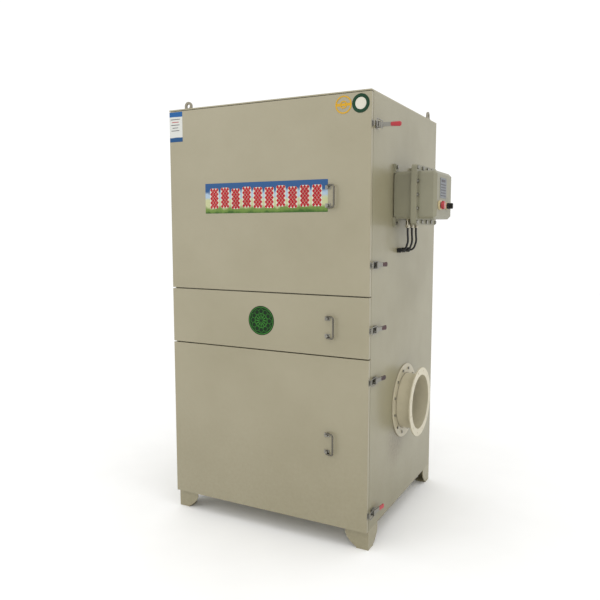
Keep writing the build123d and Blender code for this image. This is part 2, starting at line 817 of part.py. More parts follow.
def filter_bag():
    """One hanging bag with its mouth at the origin, open at the top."""
    bag = rod((0, 0, -bag_length), (0, 0, tube_sheet_thickness + 4), bag_radius)
    bag = fillet(bag.edges().sort_by(Axis.Z)[:1], 20)
    collar = rod((0, 0, tube_sheet_thickness), (0, 0, tube_sheet_thickness + 4), bag_radius + 8)
    space = rod((0, 0, -bag_length + bag_cloth), (0, 0, tube_sheet_thickness + 9), bag_radius - bag_cloth)
    space = fillet(space.edges().sort_by(Axis.Z)[:1], 18)
    return bag + collar - space


def bag_cage():
    """Wire cage inside a bag: eight uprights, four hoops and a bottom cap."""
    wire = cage_wire_radius
    ring_radius = cage_radius - wire
    bottom = -bag_length + bag_cloth + 18 + wire
    top = tube_sheet_thickness
    pieces = []
    for height in (bottom + 2, bottom / 2, top - 8):
        pieces.append(Pos(0, 0, height) * Torus(ring_radius, wire))
    for k in range(8):
        angle = k * math.pi / 4
        x = ring_radius * math.cos(angle)
        y = ring_radius * math.sin(angle)
        pieces.append(rod((x, y, bottom), (x, y, top), wire))
    return joined(pieces)


def tube_sheet():
    """Plate that carries the bags and separates clean from dusty air."""
    z0 = tube_sheet_height
    plate = block(-inner_half, inner_half, body_front + post_size, body_back - sheet, z0, z0 + tube_sheet_thickness)
    for x, y in bag_places():
        plate -= rod((x, y, z0 - 1), (x, y, z0 + 10), bag_radius + running_clearance)
    plate -= block(-inner_half + 120, inner_half - 120, baffle_y + 16, body_back - sheet - 12, z0 - 1, z0 + 10)
    for sx in (-1, 1):
        plate -= block(sx * (inner_half - post_size), sx * (inner_half + 1),
                       body_back - sheet - post_size, body_back, z0 - 1, z0 + 10)
    return plate


def hopper():
    """Four sloping plates that lead the dust down to the drawer."""
    front = body_front + post_size
    back = baffle_y
    depth = back - front
    middle = (front + back) / 2
    width = 2 * inner_half
    mouth_width = width - 2 * hopper_mouth_inset
    mouth_depth = depth - 2 * hopper_mouth_inset / 2

    def funnel(inset, top, bottom):
        upper = Plane(origin=(0, middle, top)) * Rectangle(width - 2 * inset, depth - 2 * inset)
        lower = Plane(origin=(0, middle, bottom)) * Rectangle(mouth_width - 2 * inset, mouth_depth - 2 * inset)
        return loft([upper.face(), lower.face()])

    return funnel(0, hopper_top, hopper_bottom) - funnel(sheet, hopper_top + 0.01, hopper_bottom - 0.01)


def dust_drawer():
    """Open tray under the hopper."""
    x1 = inner_half - post_size - drawer_margin
    y0 = body_front + drawer_margin
    y1 = baffle_y - drawer_margin
    z0 = deck_height + sheet
    z1 = z0 + drawer_height
    tray = block(-x1, x1, y0, y1, z0, z1)
    wall = drawer_sheet
    tray -= block(-x1 + wall, x1 - wall, y0 + wall, y1 - wall, z0 + wall, z1 + 1)
    return tray


def deck():
    """Shelf under the drawer, with a slot for the clean air behind the baffle."""
    plate = block(-inner_half, inner_half, body_front, body_back - sheet, deck_height, deck_height + sheet)
    plate -= block(-inner_half + 120, inner_half - 120, baffle_y + 16, body_back - sheet - 12,
                   deck_height - 1, deck_height + sheet + 1)
    for sx in (-1, 1):
        for y0, y1 in ((body_front - 1, body_front + post_size), (body_back - sheet - post_size, body_back)):
            plate -= block(sx * (inner_half - post_size), sx * (inner_half + 1), y0, y1,
                           deck_height - 1, deck_height + sheet + 1)
    return plate


def pulse_gear():
    """Air tank, pulse valves and blow tubes in the clean-air chamber."""
    tank_y = body_back - sheet - tank_radius - 30
    tank_z = roof_bottom - tank_radius - 20
    reach = inner_half - 90
    tank = rod((-reach, tank_y, tank_z), (reach, tank_y, tank_z), tank_radius)
    tank = fillet(tank.edges().filter_by(GeomType.CIRCLE), 24)
    tank -= rod((-reach + 30, tank_y, tank_z), (reach - 30, tank_y, tank_z), tank_radius - 4)
    save("air_tank", [tank])
    valves = []
    tubes = []
    first_y = body_front + post_size + 60
    for column in range(bag_columns):
        x = (column - (bag_columns - 1) / 2) * bag_pitch
        valve_y = tank_y - tank_radius - valve_radius - 6
        body = rod((x, valve_y, tank_z - 30), (x, valve_y, tank_z + 34), valve_radius)
        neck = rod((x, valve_y, tank_z), (x, tank_y - tank_radius, tank_z), 16)
        coil = rod((x, valve_y, tank_z + 34), (x, valve_y, tank_z + 62), 14)
        valves.append(joined([body, neck, coil]))
        tube = rod((x, first_y, tank_z), (x, valve_y - valve_radius, tank_z), blow_tube_radius)
        hollow = rod((x, first_y + 3, tank_z), (x, valve_y, tank_z), blow_tube_radius - 2)
        tube -= hollow
        for bag_x, y in bag_places():
            if abs(bag_x - x) < 1:
                tube -= rod((x, y, tank_z - 20), (x, y, tank_z), 5)
        tubes.append(tube)
    save("pulse_valves", valves)
    save("blow_tubes", tubes)


def filters():
    """Bags, cages, their plate, the hopper, the drawer and the pulse gear."""
    save("tube_sheet", [tube_sheet()])
    bag = filter_bag()
    cage = bag_cage()
    save("filter_bags", [Pos(x, y, tube_sheet_height) * bag for x, y in bag_places()])
    save("bag_cages", [Pos(x, y, tube_sheet_height) * cage for x, y in bag_places()])
    save("rear_baffle", [block(-inner_half + post_size, inner_half - post_size, baffle_y, baffle_y + sheet,
                               deck_height + sheet, tube_sheet_height)])
    save("hopper", [hopper()])
    save("dust_drawer", [dust_drawer()])
    save("drawer_deck", [deck()])
    pulse_gear()


# ------------------------------------------------------------------ fan
def volute_outline(grow):
    """Fan casing outline in (x, z): three growing quarter arcs and a straight outlet."""
    a = fan_first_radius - grow
    s = fan_step
    cx, cz = fan_centre_x, fan_centre_z
    top = cz + s + a + 2 * s
    mouth = inner_half + (grow > 0) * 10
    low = top - fan_outlet - 2 * (fan_sheet - grow)
    right = (cx + a, cz)
    bottom = (cx, cz - a)
    left = (cx - a - s, cz + s)
    peak = (cx + s, top)
    arcs = [RadiusArc(right, bottom, a), RadiusArc(bottom, left, a + s), RadiusArc(left, peak, a + 2 * s)]
    ends = Polyline(peak, (mouth, top), (mouth, low), (right[0], low), right)
    return make_face(arcs + [ends])


def fan_casing():
    """Sheet-metal scroll with its inlet eye behind and the shaft hole in front."""
    half = fan_width / 2
    plane = Plane(origin=(0, half, 0), x_dir=(1, 0, 0), z_dir=(0, -1, 0))
    outer = extrude(plane * volute_outline(0), fan_width)
    inner_plane = Plane(origin=(0, half - fan_sheet, 0), x_dir=(1, 0, 0), z_dir=(0, -1, 0))
    inner = extrude(inner_plane * volute_outline(fan_sheet), fan_width - 2 * fan_sheet)
    casing = outer - inner
    centre = (impeller_x, 0, impeller_z)
    casing -= rod(centre, (impeller_x, half + 10, impeller_z), impeller_radius * 0.62)
    casing -= rod(centre, (impeller_x, -half - 10, impeller_z), shaft_radius + 6)
    return casing


def inlet_cone():
    """Bell mouth on the fan's eye."""
    eye = impeller_radius * 0.62
    half = fan_width / 2
    profile = Polyline((eye - 12, half - 22), (eye - 4, half), (eye + 22, half + 26), (eye + 26, half + 26),
                       (eye + 6, half + fan_sheet), (eye + 20, half + fan_sheet), (eye + 20, half),
                       (eye - free_clearance, half), (eye - 9, half - 22), close=True)
    ring = revolve(make_face(profile), axis=Axis.Y)
    return Pos(impeller_x, 0, impeller_z) * ring


def impeller():
    """Back plate, hub, shaft and backward-leaning blades."""
    half = fan_width / 2
    x, z = impeller_x, impeller_z
    disc = rod((x, -half + 24, z), (x, -half + 28, z), impeller_radius)
    shroud = rod((x, half - 40, z), (x, half - 37, z), impeller_radius)
    shroud -= rod((x, half - 50, z), (x, half - 30, z), impeller_radius * 0.62)
    hub = rod((x, -half + 10, z), (x, -half + 60, z), shaft_radius + 16)
    pieces = [disc, shroud, hub]
    for k in range(impeller_blades):
        blade = block(impeller_radius * 0.5, impeller_radius - 6, -half + 27, half - 39, -1.5, 1.5)
        blade = Pos(impeller_radius * 0.5, 0, 0) * Rot(0, 30, 0) * Pos(-impeller_radius * 0.5, 0, 0) * blade
        blade = Rot(0, k * 360 / impeller_blades, 0) * blade
        pieces.append(Pos(x, 0, z) * blade)
    limit = rod((x, -half, z), (x, half, z), impeller_radius)
    wheel = joined(pieces) & limit
    shaft = rod((x, -half - 36, z), (x, -half + 62, z), shaft_radius)
    return wheel + shaft


def fan_motor():
    """Finned motor, its terminal box and feet, in front of the fan."""
    x, z = impeller_x, impeller_z
    y1 = -fan_width / 2 - 30
    y0 = y1 - motor_length
    pieces = [rod((x, y0, z), (x, y1, z), motor_radius - 14)]
    pieces.append(rod((x, y1 - 26, z), (x, y1, z), motor_radius))
    pieces.append(rod((x, y0, z), (x, y0 + 40, z), motor_radius))
    for k in range(motor_fins):
        fin = block(motor_radius - 18, motor_radius - 2, y0 + 35, y1 - 20, -2, 2)
        pieces.append(Pos(x, 0, z) * Rot(0, k * 360 / motor_fins, 0) * fin)
    pieces.append(block(x - 55, x + 55, y0 + 90, y1 - 60, z + motor_radius - 20, z + motor_radius + 55))
    bore = rod((x, y1 - 12, z), (x, y1 + 1, z), shaft_radius + running_clearance)
    return joined(pieces) - bore


def motor_stand():
    """Welded stand from the floor pan to the motor."""
    x, z = impeller_x, impeller_z
    y1 = -fan_width / 2 - 60
    y0 = y1 - motor_length + 80
    top = z - motor_radius
    plate = block(x - 110, x + 110, y0, y1, top - 10, top)
    pieces = [plate]
    for side in (-1, 1):
        x0 = x + side * 104
        pieces.append(block(x0 - 4, x0 + 4, y0, y1, floor_top, top - 10))
    for y in (y0 + 40, y1 - 40):
        pieces.append(block(x - 30, x + 30, y - 15, y + 15, top, z - motor_radius * 0.8))
    stand = joined(pieces)
    return stand - rod((x, y0 - 20, z), (x, y1 + 20, z), motor_radius + 0.2)


def fan_unit():
    """Fan casing, bell mouth, impeller, motor and stand."""
    save("fan_casing", [fan_casing()])
    save("fan_inlet_cone", [inlet_cone()])
    save("fan_impeller", [impeller()])
    save("fan_motor", [fan_motor()])
    save("motor_stand", [motor_stand()])


cabinet_shell()
doors()
latches()
duct_ports()
feet_and_lugs()
control_box()
filters()
fan_unit()
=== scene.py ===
# %% [markdown]
# # A cabinet dust collector
# The CAD model is the frame. Everything here adds finish to it: paint, plating, rubber,
# printed films, dipped grips and weld beads. The CAD solids could be traced again as meshes, but
# they already have true edges, so each one is kept and only gets its material.

# %% Load the frame
import json
import math
import bpy
import numpy as np
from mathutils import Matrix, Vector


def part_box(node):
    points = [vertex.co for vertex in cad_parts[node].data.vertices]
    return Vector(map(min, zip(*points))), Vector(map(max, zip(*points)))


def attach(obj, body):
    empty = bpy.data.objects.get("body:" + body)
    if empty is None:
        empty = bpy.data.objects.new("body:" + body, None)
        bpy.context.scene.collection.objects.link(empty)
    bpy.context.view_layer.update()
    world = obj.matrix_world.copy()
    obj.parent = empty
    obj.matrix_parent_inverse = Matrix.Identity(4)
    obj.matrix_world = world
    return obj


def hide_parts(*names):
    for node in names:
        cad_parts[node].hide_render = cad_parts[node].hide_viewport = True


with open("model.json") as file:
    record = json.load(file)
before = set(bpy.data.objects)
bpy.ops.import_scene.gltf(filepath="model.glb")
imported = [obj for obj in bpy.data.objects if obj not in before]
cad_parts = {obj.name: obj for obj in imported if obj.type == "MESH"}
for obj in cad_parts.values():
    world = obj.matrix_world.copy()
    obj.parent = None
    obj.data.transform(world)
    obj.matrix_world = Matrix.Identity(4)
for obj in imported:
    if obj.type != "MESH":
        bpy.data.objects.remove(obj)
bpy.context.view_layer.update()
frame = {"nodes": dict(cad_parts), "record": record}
MM = 0.001
door_low, door_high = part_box("upper_door")
door_face = door_low[1]
half_width = door_high[0]
joint_at = {j["name"]: j.get("pos_m") for j in frame["record"]["behaviour"]["joints"]}
print("cabinet", round(2 * half_width, 3), "m wide, doors at y", round(door_face, 4))

# %% [markdown]
# ## Camera
# The machine is seen from an eye height of about 1.5 m, a little right of its doors. A lens just
# longer than normal keeps the verticals nearly parallel, as a person standing 3.5 m away sees it.

# %% Camera
EYE = (1.5814, -3.1541, 1.493)
YAW = 0.4821
PITCH = 0.1089
FOCAL_OVER_WIDTH = 636.0 / 600.0
SENSOR = 36.0
camera_data = bpy.data.cameras.new("camera")
camera_data.sensor_width = SENSOR
camera_data.lens = SENSOR * FOCAL_OVER_WIDTH
camera = bpy.data.objects.new("camera", camera_data)
bpy.context.scene.collection.objects.link(camera)
camera.location = EYE
camera.rotation_euler = (math.pi / 2 - PITCH, 0.0, YAW)
bpy.context.scene.camera = camera
# The plain sRGB curve shows each paint as its chip, and lets the backdrop reach white.
bpy.context.scene.view_settings.view_transform = "Standard"
print("lens", round(camera_data.lens, 2), "mm")

# %% [markdown]
# ## Colours and nodes
# Paint charts give colours in sRGB, and the shader wants linear light. One function turns a hex
# value to linear, and one adds a node with its settings and links, so that each material below
# reads as a short recipe.


# %% Colour and node helpers
def linear(hex_code, alpha=1.0):
    """sRGB hex to linear RGBA: divide by 12.92 near black, else the 2.4 power law."""
    values = [int(hex_code[k:k + 2], 16) / 255 for k in (1, 3, 5)]
    return [v / 12.92 if v <= 0.04045 else ((v + 0.055) / 1.055) ** 2.4 for v in values] + [alpha]


def add(tree, kind, links=None, **settings):
    """Add a node; settings name its properties or sockets, links feed its sockets."""
    node = tree.nodes.new(kind)
    for key, value in settings.items():
        if hasattr(node, key):
            setattr(node, key, value)
        else:
            node.inputs[key.replace("_", " ")].default_value = value
    for socket, source in (links or {}).items():
        tree.links.new(source, node.inputs[socket])
    return node


def new_material(name):
    """An empty material with a shader and an output; returns material, tree and shader."""
    material = bpy.data.materials.new(name)
    material.use_nodes = True
    tree = material.node_tree
    tree.nodes.clear()
    shader = add(tree, "ShaderNodeBsdfPrincipled")
    add(tree, "ShaderNodeOutputMaterial", {"Surface": shader.outputs[0]})
    return material, tree, shader


def blend_colours(tree, factor, first, second):
    """Mix two linear colours, or sockets, by a factor socket."""
    mix = add(tree, "ShaderNodeMix", data_type="RGBA")
    tree.links.new(factor, mix.inputs[0])
    for place, colour in ((6, first), (7, second)):
        if isinstance(colour, list):
            mix.inputs[place].default_value = colour
        else:
            tree.links.new(colour, mix.inputs[place])
    return mix.outputs[2]


def ramp(tree, source, low, high):
    """0 to 1 as source goes from low to high."""
    return add(tree, "ShaderNodeMapRange", {"Value": source}, From_Min=low, From_Max=high).outputs[0]


def finish(name, colour, tint, rough, grain_mm, bump, metal=0.0, coat=0.0, patch_mm=260.0, spread=0.10,
           shine=0.5):
    """A finish with broad colour drift, fine grain in bump and roughness that wanders a little."""
    material, tree, shader = new_material(name)
    place = add(tree, "ShaderNodeTexCoord").outputs["Object"]
    patch = add(tree, "ShaderNodeTexNoise", {"Vector": place}, Scale=1 / (patch_mm * MM), Detail=4.0)
    grain = add(tree, "ShaderNodeTexNoise", {"Vector": place}, Scale=1 / (grain_mm * MM), Detail=2.0)
    drift = ramp(tree, patch.outputs[0], 0.35, 0.65)
    tree.links.new(blend_colours(tree, drift, linear(colour), linear(tint)), shader.inputs["Base Color"])
    gloss = add(tree, "ShaderNodeMapRange", {"Value": patch.outputs[0]}, To_Min=rough - spread / 2,
                To_Max=rough + spread / 2)
    tree.links.new(gloss.outputs[0], shader.inputs["Roughness"])
    relief = add(tree, "ShaderNodeBump", {"Height": grain.outputs[0]}, Strength=bump, Distance=0.0006)
    tree.links.new(relief.outputs[0], shader.inputs["Normal"])
    shader.inputs["Metallic"].default_value = metal
    shader.inputs["Coat Weight"].default_value = coat
    shader.inputs["Specular IOR Level"].default_value = shine
    return material


# %% [markdown]
# ## Powder coat
# The sheet steel is sprayed with polyester powder and baked. The powder melts into a skin with a
# faint orange peel about 2.5 mm across, semi-gloss, with a warm beige body. The colour darkens a
# little towards the floor, in specks, as painted shade, and along broad soft patches.


# %% Powder coat
SOOT_CORE, SOOT_REACH = 40 * MM, 170 * MM
port_middle = (np.array(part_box("outlet_spigot")[0]) + np.array(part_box("outlet_spigot")[1])) / 2


def powder_coat(name, colour, shade, low_shade, soot_at=None):
    """Polyester powder: orange peel, soft patches, painted shade in specks that fades above the floor, soot
    round a point.
    """
    material, tree, shader = new_material(name)
    place = add(tree, "ShaderNodeTexCoord").outputs["Object"]
    patch = add(tree, "ShaderNodeTexNoise", {"Vector": place}, Scale=2.2, Detail=5.0, Roughness=0.55)
    peel = add(tree, "ShaderNodeTexNoise", {"Vector": place}, Scale=1 / (2.5 * MM), Detail=1.0)
    wave = add(tree, "ShaderNodeTexNoise", {"Vector": place}, Scale=1 / (420 * MM), Detail=1.0)
    height = add(tree, "ShaderNodeSeparateXYZ", {"Vector": place}).outputs["Z"]
    body = blend_colours(tree, ramp(tree, patch.outputs[0], 0.32, 0.7), linear(colour), linear(shade))
    speck = add(tree, "ShaderNodeTexNoise", {"Vector": place}, Scale=60.0, Detail=6.0, Roughness=0.7)
    # Painted shade: the colour darkens in specks towards the floor.
    low = add(tree, "ShaderNodeMapRange", {"Value": height}, From_Min=0.75, From_Max=0.02, To_Max=0.5)
    painted_floor_shade = add(tree, "ShaderNodeMath", {0: low.outputs[0], 1: ramp(tree, speck.outputs[0], 0.3, 0.7)},
                operation="MULTIPLY")
    shade_and_soot = blend_colours(tree, painted_floor_shade.outputs[0], body, linear(low_shade))
    if soot_at is not None:
        reach = add(tree, "ShaderNodeVectorMath", {0: place}, operation="DISTANCE")
        reach.inputs[1].default_value = soot_at
        near = add(tree, "ShaderNodeMapRange", {"Value": reach.outputs["Value"]}, From_Min=SOOT_REACH,
                   From_Max=SOOT_CORE, To_Max=0.75, interpolation_type="SMOOTHSTEP")
        soot = add(tree, "ShaderNodeMath", {0: near.outputs[0], 1: ramp(tree, speck.outputs[0], 0.25, 0.75)},
                   operation="MULTIPLY")
        shade_and_soot = blend_colours(tree, soot.outputs[0], shade_and_soot, linear("#5f5138"))
    tree.links.new(shade_and_soot, shader.inputs["Base Color"])
    gloss = add(tree, "ShaderNodeMapRange", {"Value": patch.outputs[0]}, To_Min=0.30, To_Max=0.46)
    tree.links.new(gloss.outputs[0], shader.inputs["Roughness"])
    dents = add(tree, "ShaderNodeBump", {"Height": wave.outputs[0]}, Strength=0.25, Distance=0.004)
    relief = add(tree, "ShaderNodeBump", {"Height": peel.outputs[0], "Normal": dents.outputs[0]},
                 Strength=0.10, Distance=0.0003)
    tree.links.new(relief.outputs[0], shader.inputs["Normal"])
    shader.inputs["Coat Weight"].default_value = 0.12
    shader.inputs["Coat Roughness"].default_value = 0.12
    return material


cabinet_paint = powder_coat("beige_powder_coated_steel", "#999278", "#918a70", "#7c745b")
door_paint = powder_coat("beige_powder_coated_door_sheet", "#9a937b", "#928b72", "#81795f")
# The side sheets take a darker copy of the same paint: painted shade, as the sides get less light than the
# doors.
shaded_side_paint = powder_coat("beige_powder_coated_side_sheet", "#8f896f", "#847e64", "#746e55",
                         soot_at=(half_width, -130 * MM, float(port_middle[2]) - 185 * MM))

# The pipes take a lighter copy of the same paint: painted light, as from a bright lamp on the right.
lit_spigot_paint = powder_coat("pale_beige_powder_coated_pipe", "#c5bda3", "#b9b198", "#968e75")
lug_paint = powder_coat("worn_beige_paint_on_cut_plate", "#8d8672", "#777060", "#6d665a")

# %% [markdown]
# ## Metals, castings, rubber and plastics
# Each is named for the real stock and how its surface was made. Most grains are the real size:
# zinc spangle is about 8 mm and hammered enamel cells about 3 mm. Felt fibres are far finer than
# a picture of the whole machine can show, so the felt's grain is drawn at 0.9 mm.

# %% Other finishes
# Green-grey and broken into small cells, so the castings look thick beside the smooth sheet.
hammer_enamel = finish("grey_green_hammer_enamel_on_cast_aluminium", "#8b8872", "#807d69", 0.42, 3.0, 0.45)
# A grey metal with a slight haze, a little darker than new, as on handled latches.
bright_zinc = finish("bright_zinc_plated_steel", "#9a9890", "#807e77", 0.32, 1.2, 0.15, metal=1.0)
# Real chrome mirrors a dark room. The pale studio would hide it, so its own tone is dark.
chrome = finish("polished_chromed_bar", "#77736a", "#66635b", 0.16, 4.0, 0.03, metal=1.0, spread=0.06)
# Spangle: each crystal has its own tone, in patches of about 8 mm.
galvanised = finish("hot_dip_galvanised_sheet", "#aeb2b3", "#8f9496", 0.42, 8.0, 0.2, metal=1.0, patch_mm=8.0)
# Warmer and smoother than zinc, which sets the cable glands apart.
nickel = finish("nickel_plated_brass", "#c2bcab", "#aea793", 0.28, 1.5, 0.08, metal=1.0)
# Almost black and dull, so that it draws the dark line between door and frame.
seal_rubber = finish("black_extruded_epdm_rubber", "#16161a", "#1e1e20", 0.7, 0.8, 0.3)
# Black with a soft sheen along the bend of each cable.
cable_rubber = finish("black_rubber_cable_sheath", "#0c0c0d", "#151516", 0.5, 1.0, 0.25)
# Black like the cables but a little smoother.
gland_nylon = finish("black_moulded_nylon", "#101011", "#19191a", 0.45, 1.2, 0.2)
# Off-white and quite without gloss, with a fine uneven nap.
felt = finish("white_needle_felt", "#d8d5cb", "#c9c5b8", 0.95, 0.9, 0.9)
# Brushed-on blue over rough iron: shiny, but never flat.
motor_enamel = finish("blue_enamel_on_cast_iron", "#2b4463", "#243a57", 0.4, 2.0, 0.4)
# Pale grey and grainy from the sand mould.
cast_alloy = finish("sand_cast_aluminium", "#a3a6a8", "#8f9294", 0.5, 1.5, 0.5, metal=1.0)
# Clear bright red with a wet highlight: the one loud colour, as safety asks.
red_plastic = finish("red_moulded_acetal", "#a3121b", "#94101a", 0.26, 6.0, 0.05, coat=0.3)
# Glossy black that shows the knob by its highlight.
black_plastic = finish("black_moulded_acetal", "#0d0d0f", "#141416", 0.3, 6.0, 0.05, coat=0.2)
# Pale yellow that frames the red button.
cream_plastic = finish("cream_moulded_abs", "#d9c79a", "#cdb98a", 0.35, 5.0, 0.06)
# Soft red with a waxy highlight.
red_dip = finish("red_pvc_dip_coat", "#b3202c", "#9c1824", 0.38, 2.0, 0.15, coat=0.2)
# The same dip in a darker red, on the three middle levers.
maroon_dip = finish("aged_dark_red_pvc_dip_coat", "#4a1a1e", "#2a1416", 0.5, 2.0, 0.2)
# Painted over with the cabinet, slightly duller because of its ripples.
weld_steel = finish("painted_weld_bead", "#a09780", "#8d856e", 0.45, 2.0, 0.4)
# Thin grey metal with a satin surface.
plate_alloy = finish("satin_anodised_plate", "#7d8184", "#6e7276", 0.4, 0.6, 0.1, metal=0.6)

SLOT_FINISH = {
    "body_paint": cabinet_paint, "seal_rubber": seal_rubber, "zinc_steel": bright_zinc,
    "handle_chrome": chrome, "box_paint": hammer_enamel, "stop_red": red_plastic,
    "knob_black": black_plastic, "collar_cream": cream_plastic, "plate_grey": plate_alloy,
    "cable_black": cable_rubber, "gland_nickel": nickel, "gland_black": gland_nylon,
    "filter_felt": felt, "galvanised": galvanised, "motor_blue": motor_enamel, "fan_alloy": cast_alloy,
}
NODE_FINISH = {"upper_door": door_paint, "middle_door": door_paint, "lower_door": door_paint,
               "right_panel": shaded_side_paint, "left_panel": shaded_side_paint, "outlet_spigot": lit_spigot_paint,
               "inlet_spigot": lit_spigot_paint, "lifting_lugs": lug_paint}
for part in frame["record"]["subparts"]:
    node = frame["nodes"][part["node"]]
    node.data.materials.clear()
    node.data.materials.append(NODE_FINISH.get(part["node"], SLOT_FINISH[part["material_slot"]]))
print(len(frame["nodes"]), "CAD nodes finished")

# %% [markdown]
# ## Surfaces from numbers
# New pieces are rows of rings. Each ring is a closed loop of points, neighbouring rings are
# stitched with quads, and the first and last ring are shut with one point each, so that every
# piece is a closed solid with its faces outwards.


# %% Stitching rings
def shell(rings, around=False):
    """Points and faces of rings (n, m, 3): quads between rings; the ends meet, or a fan shuts each."""
    n, m, _ = rings.shape
    points = rings.reshape(-1, 3)
    i = np.arange(n if around else n - 1)[:, None]
    j = np.arange(m)[None, :]
    up = (i + 1) % n
    right = (j + 1) % m
    quads = np.stack([i * m + j, i * m + right, up * m + right, up * m + j], axis=-1).reshape(-1, 4)
    caps = np.zeros((0, 3), int)
    if not around:
        points = np.vstack([points, rings[0].mean(axis=0), rings[-1].mean(axis=0)])
        turn = np.arange(m)
        last = (n - 1) * m
        caps = np.vstack([np.stack([(turn + 1) % m, turn, np.full(m, n * m)], axis=-1),
                          np.stack([last + turn, last + (turn + 1) % m, np.full(m, n * m + 1)], axis=-1)])
    centre = points.mean(axis=0)
    triangles = (points - centre)[np.vstack([quads[:, :3], quads[:, [0, 2, 3]], caps])]
    volume = np.einsum("ij,ij->i", triangles[:, 0], np.cross(triangles[:, 1], triangles[:, 2])).sum()
    if volume < 0:
        quads = quads[:, ::-1]
        caps = caps[:, ::-1]
    return points, quads, caps


def stitch(name, parts, material, body, around=False, uv=None):
    """One closed piece from one array of rings, or from a list of them, riding on its body."""
    parts = parts if isinstance(parts, list) else [parts]
    points = np.zeros((0, 3))
    faces = []
    for rings in parts:
        more, quads, caps = shell(rings, around)
        faces += (quads + len(points)).tolist() + (caps + len(points)).tolist()
        points = np.vstack([points, more])
    mesh = bpy.data.meshes.new(name)
    mesh.from_pydata(points.tolist(), [], faces)
    if uv is not None:
        corner = np.zeros(len(mesh.loops), np.int32)
        mesh.loops.foreach_get("vertex_index", corner)
        layer = mesh.uv_layers.new(name="print")
        layer.data.foreach_set("uv", uv(points[corner]).astype(np.float32).ravel())
    mesh.materials.append(material)
    piece = bpy.data.objects.new(name, mesh)
    bpy.context.scene.collection.objects.link(piece)
    mesh.polygons.foreach_set("use_smooth", [True] * len(mesh.polygons))
    mesh.set_sharp_from_angle(angle=math.radians(35))
    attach(piece, body)
    return piece


def outline(half_u, half_v, corner, count=64):
    """Rounded rectangle: each point of a circle of the corner's radius, pushed out by the straights."""
    turn = (np.arange(count) + 0.5) * 2 * math.pi / count
    u = corner * np.cos(turn) + np.sign(np.cos(turn)) * (half_u - corner)
    v = corner * np.sin(turn) + np.sign(np.sin(turn)) * (half_v - corner)
    return u, v


def lozenge(half_u, half_v, count=16):
    """A diamond: squares of cosine and sine, with their signs kept, add up to one all the way round."""
    turn = (np.arange(count) + 0.5) * 2 * math.pi / count
    return half_u * np.cos(turn) * np.abs(np.cos(turn)), half_v * np.sin(turn) * np.abs(np.sin(turn))


def flat_rings(x, z, u, v, depth, lift):
    """An outline on the doors' face, carried outwards by depth and shut with a small rounded edge."""
    near = door_face - lift - depth
    crown = near - 0.1 * MM
    levels = ((1.0, door_face - lift), (1.0, near), (0.985, crown), (0.5, crown))
    return np.stack([np.stack([x + k * u, np.full_like(u, y), z + k * v], axis=-1) for k, y in levels])


def film(name, x, z, half_u, half_v, corner, material, body, depth=0.0006, lift=0.0):
    """A thin printed film on a door: a rounded outline, with its own UV map from 0 to 1."""
    def place(points):
        """Position on the film, 0 to 1 across and up."""
        across = (points[:, 0] - x) / (2 * half_u) + 0.5
        up = (points[:, 2] - z) / (2 * half_v) + 0.5
        return np.stack([across, up], axis=-1)

    rings = flat_rings(x, z, *outline(half_u, half_v, corner), depth, lift)
    return stitch(name, rings, material, body, uv=place)


def hoop_rings(x, z, outer, inner, depth, lift):
    """A small rounded rectangle carried round a circle on the doors' face."""
    turn = np.linspace(0, 2 * math.pi, 96, endpoint=False)
    u, v = outline((outer - inner) / 2, depth / 2, depth * 0.35, 12)
    radius = (outer + inner) / 2 + u[None, :]
    return np.stack([x + radius * np.cos(turn)[:, None],
                     np.broadcast_to(door_face - lift - depth / 2 + v, (96, 12)),
                     z + radius * np.sin(turn)[:, None]], axis=-1)


def ring(name, x, z, outer, inner, material, body, depth=0.0008, lift=0.0006):
    """A flat ring on a door."""
    return stitch(name, hoop_rings(x, z, outer, inner, depth, lift), material, body, around=True)


# %% [markdown]
# ## Printed films
# The doors carry vinyl films: a long picture banner, a corner label, two round tags and a round
# emblem. A picture file would be the usual way; here each print is worked out from its position on
# the film, so it stays sharp and carries no lettering. Bands come from steps on the upward axis.


# %% Print recipes
PRINT_SHINE = 0.2


def print_film(name, bands, soft=0.02, rough=0.3):
    """Vinyl with colour bands from bottom to top; bands = [(height, hex), ...] with blurred joins."""
    material, tree, shader = new_material(name)
    where = add(tree, "ShaderNodeUVMap", uv_map="print").outputs[0]
    object_place = add(tree, "ShaderNodeTexCoord").outputs["Object"]
    up = add(tree, "ShaderNodeSeparateXYZ", {"Vector": where}).outputs["Y"]
    cloud = add(tree, "ShaderNodeTexNoise", {"Vector": object_place}, Scale=28.0, Detail=6.0)
    sway = add(tree, "ShaderNodeMath", {0: cloud.outputs[0]}, operation="MULTIPLY_ADD")
    sway.inputs[1].default_value = soft * 6
    tree.links.new(up, sway.inputs[2])
    colour = linear(bands[0][1])
    for height, code in bands[1:]:
        step = ramp(tree, sway.outputs[0], height - soft, height + soft)
        colour = blend_colours(tree, step, colour, linear(code))
    tree.links.new(colour, shader.inputs["Base Color"])
    wrinkle = add(tree, "ShaderNodeBump", {"Height": cloud.outputs[0]}, Strength=0.2, Distance=0.0005)
    tree.links.new(wrinkle.outputs[0], shader.inputs["Normal"])
    shader.inputs["Roughness"].default_value = rough
    shader.inputs["Specular IOR Level"].default_value = PRINT_SHINE
    return material


# Grass below, haze in the middle and a deep sky above, each height as a share of the banner.
SKY_BANDS = [(0.0, "#35581f"), (0.2, "#66803a"), (0.34, "#b4b78c"), (0.62, "#9fb2c2"), (0.85, "#28507f")]
banner_print = print_film("printed_vinyl_sky_and_grass", SKY_BANDS, soft=0.05)
# A blue foot and head with crisp edges round a pale field.
LABEL_BANDS = [(0.0, "#1a4a78"), (0.17, "#c9cac4"), (0.86, "#1a5690")]
label_print = print_film("printed_paper_label", LABEL_BANDS, soft=0.008)
